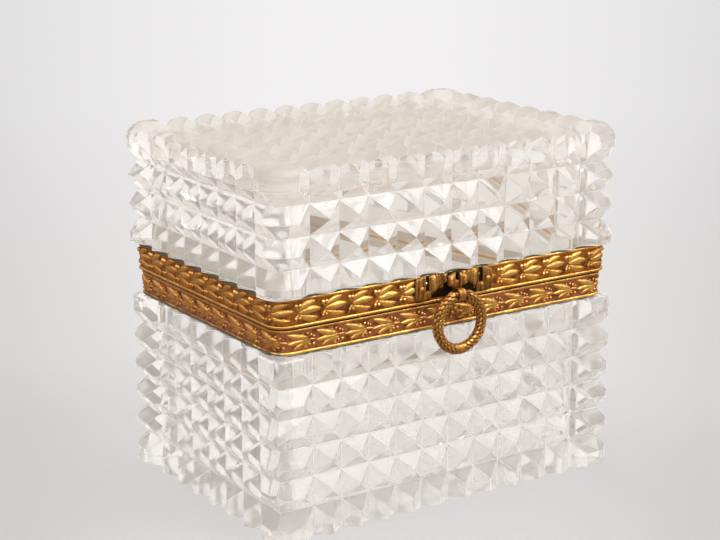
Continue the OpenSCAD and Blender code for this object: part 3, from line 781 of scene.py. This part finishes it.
class PieceOperator:
    """What all the operators share."""
    bl_options = {"REGISTER", "UNDO"}


class CASKET_OT_crystal(PieceOperator, bpy.types.Operator):
    """Finish the base's and the lid's cut crystal"""
    bl_idname = "casket.crystal"
    bl_label = "Crystal"

    def execute(self, context):
        settings = context.scene.casket_crystal
        assign(crystal_finish("base_cut_crystal", settings, settings.base_haze), "base_crystal")
        assign(crystal_finish("lid_cut_crystal", settings, settings.haze), "lid_crystal")
        return {"FINISHED"}


class CASKET_OT_mounts(PieceOperator, bpy.types.Operator):
    """Finish the gilt frames, the plaster beds, the hinge and the pins"""
    bl_idname = "casket.mounts"
    bl_label = "Frames, Beds and Hinge"

    def execute(self, context):
        settings = context.scene.casket_mounts
        # The last number is how dark the seam's outer lip is painted as shade
        for body, meeting in (("base", (BASE_BAND, BASE_BAND[1][2], 1.0)),
                              ("lid", (LID_BAND, LID_BAND[0][2], 0.3))):
            gilt = gilt_finish(f"{body}_frame_gilt", settings, roughness=0.24, meeting=meeting)
            assign(gilt, f"{body}_frame")
            plaster = plaster_finish(f"{body}_plaster", settings, meeting[0])
            assign(plaster, f"{body}_plaster_bed")
        hinge = gilt_finish("hinge_gilt", settings, tarnish=0.2)
        assign(hinge, "base_hinge_leaf", "lid_hinge_leaf")
        dull = settings.dull
        brown = gilt_finish("brown_gilt", settings, dull, settings.tarnish_and_hollow_shade, roughness=0.4)
        assign(brown, "ring_eye", "bow_pins", "base_hinge_rivets", "lid_hinge_rivets")
        brass = gilt_finish("worn_brass", settings, dull, settings.bright, roughness=0.34)
        assign(brass, "hinge_pin", "ring_pivot_pin")
        return {"FINISHED"}


class CASKET_OT_garlands(PieceOperator, bpy.types.Operator):
    """Chase the laurel garlands round both bands"""
    bl_idname = "casket.garlands"
    bl_label = "Laurel Garlands"

    def execute(self, context):
        mounts, settings = context.scene.casket_mounts, context.scene.casket_garlands
        for body, strip, band, count, ground, spray in (
                ("lid", LID_STRIP, LID_BAND, settings.lid_sprays, mounts.ground, LID_SPRAY),
                ("base", BASE_STRIP, BASE_BAND, settings.base_sprays, mounts.recess, BASE_SPRAY)):
            gilt = gilt_finish(f"{body}_laurel_gilt", mounts, hollow_patina_and_shade=ground)
            points = rounded_rectangle(band[1][0] - STRIP_SINK, band[1][1] - STRIP_SINK,
                                       BAND_ROUND - STRIP_SINK, middle(strip)[2])
            path, length = path_curve(points, closed=True)
            tall, pitch = strip[1][2] - strip[0][2], length / count
            piece = Relief(settings.relief)
            piece.strip(pitch, tall, STRIP_T)
            self.chase(piece, pitch, tall / 2, settings, **spray)
            obj = piece.mesh(f"{body}_laurel", gilt)
            run_along(obj, path, gilt, Count=count, Pitch=pitch, Axis=(0.0, 0.0, 1.0),
                      Waver=settings.waver, Seed=settings.seed)
            fasten(obj, body, f"{body}_laurel_strip")
        return {"FINISHED"}

    def chase(self, piece, pitch, half, settings, leaves, berries, seat):
        """Chases one spray of leaves and berries into a repeat of the ground."""
        for root, tip, width, rise, bend in leaves:
            piece.leaf((root[0] * pitch, root[1] * half), (tip[0] * pitch, tip[1] * half),
                       width * half, rise * settings.relief, bend=bend * half)
        up = seat[0] * settings.relief - seat[1]
        for along, across, size in berries:
            piece.berry((along * pitch, across * half), size * settings.berry, up)


class CASKET_OT_bow(PieceOperator, bpy.types.Operator):
    """Make the pleated ribbon bow, its knot and the berry sprig below it"""
    bl_idname = "casket.bow"
    bl_label = "Bow, Knot and Sprig"

    def execute(self, context):
        mounts = context.scene.casket_mounts
        gilt = ornament_finish("ribbon_gilt", mounts, 0.45)
        self.ribbon(context.scene.casket_pull, gilt, mounts)
        self.knot(gilt)
        self.sprig(gilt)
        return {"FINISHED"}

    def ribbon(self, settings, gilt, mounts):
        """Two pleated wings, each a tail, a loop and the fold that joins them."""
        low, high = BOW
        half_w, tall, thick = high[0], high[2] - low[2], high[1] - low[1]
        place = (0, high[1], low[2])
        tail_w, loop_w, slit = 0.26 * half_w, 0.46 * half_w, 0.09 * half_w
        tail_x, loop_x = half_w - tail_w, half_w - tail_w - slit - loop_w
        wing = Relief(thick)
        wing.panel(lambda t: tall * (0.97 - 0.10 * t * t), lambda t: tall * (0.04 + 0.05 * t * t),
                   tail_w, 0.92 * thick, settings.pleats, lean=0.25, offset=tail_x)
        wing.panel(lambda t: tall * (0.93 + 0.06 * sin(pi * t)),
                   lambda t: tall * (0.60 - 0.50 * t ** 1.4),
                   loop_w, thick, settings.pleats + 1, lean=-0.5, offset=loop_x)
        wing.panel(lambda t: tall * 0.40, lambda t: tall * 0.06, 2.6 * slit, 0.7 * thick, 2,
                   offset=tail_x - 1.8 * slit)
        # A black sheet behind the bow stands in for the shadow in its gaps: a painted shadow
        back = Relief(thick)
        back.panel(lambda t: tall * 0.95, lambda t: tall * 0.10, 2 * (tail_x + slit),
                   0.22 * thick, 4, offset=-(tail_x + slit))
        dark = gilt_finish("painted_shadow_ground", mounts, mounts.dark, mounts.dark, roughness=0.6)
        for obj in (wing.mesh("bow_wings", gilt, place, mirror=True),
                    back.mesh("bow_ground", dark, place)):
            fasten(obj, "lid", "bow_ribbon")

    def knot(self, gilt):
        """Two fat lobes side by side over a fold, with a dark notch between them."""
        low, high = KNOT
        thick, half_w = high[1] - low[1], high[0]
        top, foot = BOW[1][2] - low[2], EYE[1][2] - low[2] - 0.2 * MM
        lobe = Relief(thick)
        lobe.panel(lambda t: top - 0.3 * MM - 0.8 * MM * t, lambda t: foot + 1.2 * MM * t,
                   1.15 * half_w, 0.95 * thick, 2, lean=0.4, offset=0.36 * half_w)
        lobe.panel(lambda t: 0.45 * top, lambda t: foot, 0.8 * half_w, 0.6 * thick, 2,
                   offset=-0.05 * half_w)
        obj = lobe.mesh("bow_knot_lobes", gilt, (0, high[1], low[2]), mirror=True)
        fasten(obj, "lid", "bow_knot")

    def sprig(self, gilt):
        """Three berries on a fan of leaves, low on the base's band behind the ring."""
        low, high = SPRIG
        thick, reach = high[1] - low[1], (high[0] - low[0]) / 2
        sprig = Relief(thick)
        for degrees, length in ((195, 1.5), (345, 1.5), (150, 1.3), (30, 1.3), (90, 0.9)):
            sprig.leaf((0, 0), on_arc(length * reach, radians(degrees)),
                       0.85 * reach, 0.7 * thick)
        for along, across in ((0.02, 0.0), (0.66, 0.05), (0.36, 0.36)):
            sprig.berry((along * reach, across * reach), 0.30 * reach, 0.45 * MM)
        obj = sprig.mesh("berry_leaves", gilt, (0, high[1], middle(SPRIG)[2]))
        fasten(obj, "base", "berry_sprig")


class CASKET_OT_wreath(PieceOperator, bpy.types.Operator):
    """Make the ring pull: two branches of overlapping leaves tied at the foot"""
    bl_idname = "casket.wreath"
    bl_label = "Wreath Ring"

    def execute(self, context):
        mounts, settings = context.scene.casket_mounts, context.scene.casket_pull
        gilt = ornament_finish("wreath_gilt", mounts, 0.6)
        for piece in (self.branch(1, settings, gilt), self.branch(-1, settings, gilt),
                      self.tie(settings, gilt)):
            fasten(piece, "ring", "ring_wreath")
        return {"FINISHED"}

    def path(self, points, side=1):
        """A path in the ring's own plane, through (x, z) from its centre."""
        x, y, z = RING_CENTRE
        return path_curve([(x + side * across, y, z + up) for across, up in points])

    def branch(self, side, settings, gilt):
        """One half of the ring: leaves in rows round a core, from the foot to the tip."""
        # The upper quarters have their centre past the ring's, so that they meet in a point
        point = ((middle(PIVOT)[2] - RING_CENTRE.z) ** 2 - RING_R ** 2) / (2 * RING_R)
        upper_r = RING_R + point
        run_in = 24    # degrees of path before the foot, for the first leaves' roots
        steps, last = 60, acos(point / upper_r)
        points = [on_arc(RING_R, radians(k)) for k in range(-90 - run_in, 0, 2)]
        points += [on_arc(upper_r, last * k / steps, -point) for k in range(steps + 1)]
        path, length = self.path(points, side)
        start = radians(run_in) * RING_R
        pitch = (length - start - EYE[1][0] - EYE_GAP) / settings.leaf_rows

        # The core, and two staggered rows of leaves round it in each repeat
        core, round_it = settings.core * WIRE, 5
        rope = Relief(WIRE - core)
        rope.tube(pitch, circle(core, 12), 2)
        # The core counts as lowest, so between the leaves it is painted dark as shade
        rope.rise = [0.0] * len(rope.rise)
        for row, at in enumerate((0.0, 0.5)):
            for k in range(round_it):
                lay = self.round_core(core, 2 * pi * (k + 0.5 * row) / round_it)
                rope.leaf(((at - 0.75) * pitch, -0.25 * core), ((at + 0.5) * pitch, 0.22 * core),
                          1.05 * core, (1.05 - 0.2 * row) * (WIRE - core), bend=0.15 * core,
                          sink=0.15 * MM, lay=lay, rows=6, half=2)
        obj = rope.mesh(f"wreath_{'right' if side > 0 else 'left'}", gilt)
        return run_along(obj, path, gilt, Count=settings.leaf_rows, Pitch=pitch, Start=start,
                         Axis=(0.0, float(side), 0.0), Waver=0.5 * MM, Seed=float(side))

    def tie(self, settings, gilt):
        """Ribbon wound round the foot of the ring."""
        path, length = self.path([on_arc(RING_R, radians(k)) for k in range(-120, -58, 2)])
        wraps = 5
        wrap = Relief(WIRE)
        wrap.tube(settings.tie / wraps, circle(0.93 * WIRE, 14), 6,
                  swell=lambda t: 0.88 + 0.12 * sin(pi * t))
        wrap.rise = [0.6] * len(wrap.rise)
        obj = wrap.mesh("wreath_tie", gilt)
        return run_along(obj, path, gilt, Count=wraps, Pitch=settings.tie / wraps,
                         Start=(length - settings.tie) / 2, Axis=(0.0, 1.0, 0.0), Waver=0.1 * MM)

    def round_core(self, core, angle):
        """Lays a leaf on the core at an angle round it."""
        def lay(along, across, up):
            return along, *on_arc(core + up, angle + across / core)
        return lay


class CASKET_OT_stage(PieceOperator, bpy.types.Operator):
    """Set the floor, the soft light and the camera"""
    bl_idname = "casket.stage"
    bl_label = "Floor, Light and Camera"

    def execute(self, context):
        scene = context.scene
        settings = scene.casket_stage
        self.floor(settings)
        self.surroundings(scene, settings)
        self.lamps(settings)
        self.camera(scene, settings)
        scene.view_settings.view_transform = "Standard"
        # Cut crystal passes light on through many inner reflections before it goes dark
        for kind in ("max", "diffuse", "glossy", "transmission"):
            setattr(scene.cycles, f"{kind}_bounces", settings.bounces)
        return {"FINISHED"}

    def floor(self, settings):
        """A pale sweep: matt round the casket, where its shadow falls, and plain far behind."""
        # Its shade is fixed to the floor and grows sideways and forwards of the stand
        net = Finish("pale_floor")
        stand, turn = self.stand(), radians(AZIMUTH)
        east, north = net.minus(net.x, stand.x), net.minus(net.y, stand.y)

        def distance(x, y):
            """How far a point of the floor lies from the stand in a direction."""
            return net.plus(net.times(east, x), net.times(north, y))

        far = net.larger(distance(-sin(turn), cos(turn)), NEAREST)
        across = net.maths("DIVIDE", distance(cos(turn), sin(turn)), far)
        sideways = net.times(net.times(across, across), settings.side_shade)
        slope = net.maths("DIVIDE", stand.z, far)
        shade = net.plus(net.maths("MINIMUM", sideways, DARKEST_SIDE),
                         net.spread(slope, *NEAR_SLOPES, 0.0, settings.near_shade))
        # Far out it fades, so that the floor runs into the background
        radius = net.vector("LENGTH", net.place, output="Value")
        shade = net.times(shade, net.spread(radius, *SHADE_FADES, 1.0, 0.0))
        tone = {"Color": net.blend(shade, settings.floor, (0.0, 0.0, 0.0))}
        sweep = net.mix(net.spread(far, *TURNS_PLAIN, settings.fill, 1.0),
                        net.out("ShaderNodeBsdfDiffuse", tone),
                        net.out("ShaderNodeEmission", tone))
        pale = net.out("ShaderNodeEmission", {
            "Color": settings.pale, "Strength": settings.pale_light})
        dim = net.out("ShaderNodeEmission", {"Color": settings.dim})
        shader = net.mix(net.gilt_ray(), net.mix(net.glass_ray(), sweep, pale), dim)
        corners = [(x * FLOOR_HALF, y * FLOOR_HALF, -FLOOR_GAP)
                   for x, y in ((-1, -1), (1, -1), (1, 1), (-1, 1))]
        plain_mesh("floor", corners, [(0, 1, 2, 3)], net.made_of(shader))

    def surroundings(self, scene, settings):
        """A plain pale room to the eye; in crystal and gilt it has a darker side and a key.

        Directions are unit vectors: 0.5 up is 30 degrees above the horizon.
        """
        scene.world = bpy.data.worlds.new("pale_room")
        scene.world.use_nodes = True
        net = Nodes(scene.world.node_tree)
        direction = net.out("ShaderNodeTexCoord", output="Generated")
        _, ahead, up = net.put("ShaderNodeSeparateXYZ", {0: direction}).outputs
        behind_camera = net.times(net.spread(ahead, -0.9, -0.1, 1.0, 0.0),
                                  net.spread(up, 0.0, 0.9, 1.0, 0.0))
        gilt = net.gilt_ray()
        low = net.times(gilt, net.spread(up, 0.15, 0.6, 1.0, 0.0))
        sky = net.blend(low, net.blend(behind_camera, settings.sky, settings.room), settings.dim)

        # The front's upper facets mirror the lamps' bright ceiling
        facets = net.minus(net.ray("Singular"), net.ray("Transmission"), clamp=True)
        ceiling = net.times(facets, net.spread(up, 0.45, 0.62, 0.0, settings.ceiling))
        # What the gilt mirrors is brighter, most of all high up in front
        key = net.times(net.spread(up, 0.35, 0.7, 0.7, settings.key),
                        net.spread(ahead, -0.2, 0.2, 1.0, 0.4))
        clear = net.larger(net.ray("Glossy"), net.ray("Transmission"))
        strength = net.plus(
            net.spread(clear, 0.0, 1.0, settings.sky_light, settings.clear_light),
            net.plus(ceiling, net.times(gilt, key)))
        room = net.out("ShaderNodeBackground", {"Color": sky, "Strength": strength})
        plain = net.out("ShaderNodeBackground", {"Color": settings.floor})
        net.put("ShaderNodeOutputWorld", {"Surface": net.mix(net.ray("Camera"), room, plain)})

    def lamps(self, settings):
        """A soft box that the front's upper facets mirror, and a larger one overhead."""
        powers = settings.front_light, settings.overhead_light
        for (name, place, size), power in zip(SOFT_BOXES, powers):
            lamp = bpy.data.lights.new(name, "AREA")
            lamp.size = size
            lamp.energy = power
            obj = new_object(name, lamp)
            obj.location = place
            aim = LAMP_AIM - Vector(place)
            obj.rotation_euler = aim.to_track_quat("-Z", "Y").to_euler()

    def stand(self):
        """The fixed place that the camera is put in."""
        azimuth, elevation = radians(AZIMUTH), radians(ELEVATION)
        back = Vector((sin(azimuth) * cos(elevation),
                       -cos(azimuth) * cos(elevation), sin(elevation)))
        return TARGET + back * DISTANCE

    def camera(self, scene, settings):
        data = bpy.data.cameras.new("camera")
        data.lens = settings.lens
        data.sensor_width = 36
        data.clip_start = 0.01
        place = self.stand()
        turn = ((TARGET - place).to_track_quat("-Z", "Y").to_matrix()
                @ Matrix.Rotation(radians(ROLL), 3, "Z"))
        scene.camera = new_object("camera", data)
        scene.camera.matrix_world = Matrix.Translation(place) @ turn.to_4x4()


class CASKET_PT_finishes(bpy.types.Panel):
    """Buttons for the casket's finishes"""
    bl_idname = "CASKET_PT_finishes"
    bl_label = "Casket Finishes"
    bl_space_type = "VIEW_3D"
    bl_region_type = "UI"
    bl_category = "Casket"

    def draw(self, context):
        for operator in OPERATORS:
            self.layout.operator(operator.bl_idname)


SETTINGS = {"casket_crystal": CrystalSettings, "casket_mounts": MountSettings,
            "casket_garlands": GarlandSettings, "casket_pull": PullSettings,
            "casket_stage": StageSettings}
OPERATORS = (CASKET_OT_crystal, CASKET_OT_mounts, CASKET_OT_garlands, CASKET_OT_bow,
             CASKET_OT_wreath, CASKET_OT_stage)


def register():
    for cls in (*SETTINGS.values(), *OPERATORS, CASKET_PT_finishes):
        bpy.utils.register_class(cls)
    for name, cls in SETTINGS.items():
        setattr(bpy.types.Scene, name, PointerProperty(type=cls))


def unregister():
    for name in SETTINGS:
        delattr(bpy.types.Scene, name)
    for cls in (CASKET_PT_finishes, *OPERATORS, *SETTINGS.values()):
        bpy.utils.unregister_class(cls)


def main():
    register()
    bpy.ops.casket.crystal()
    bpy.ops.casket.mounts()
    bpy.ops.casket.garlands()
    bpy.ops.casket.bow()
    bpy.ops.casket.wreath()
    bpy.ops.casket.stage()


if __name__ == "__main__":
    main()
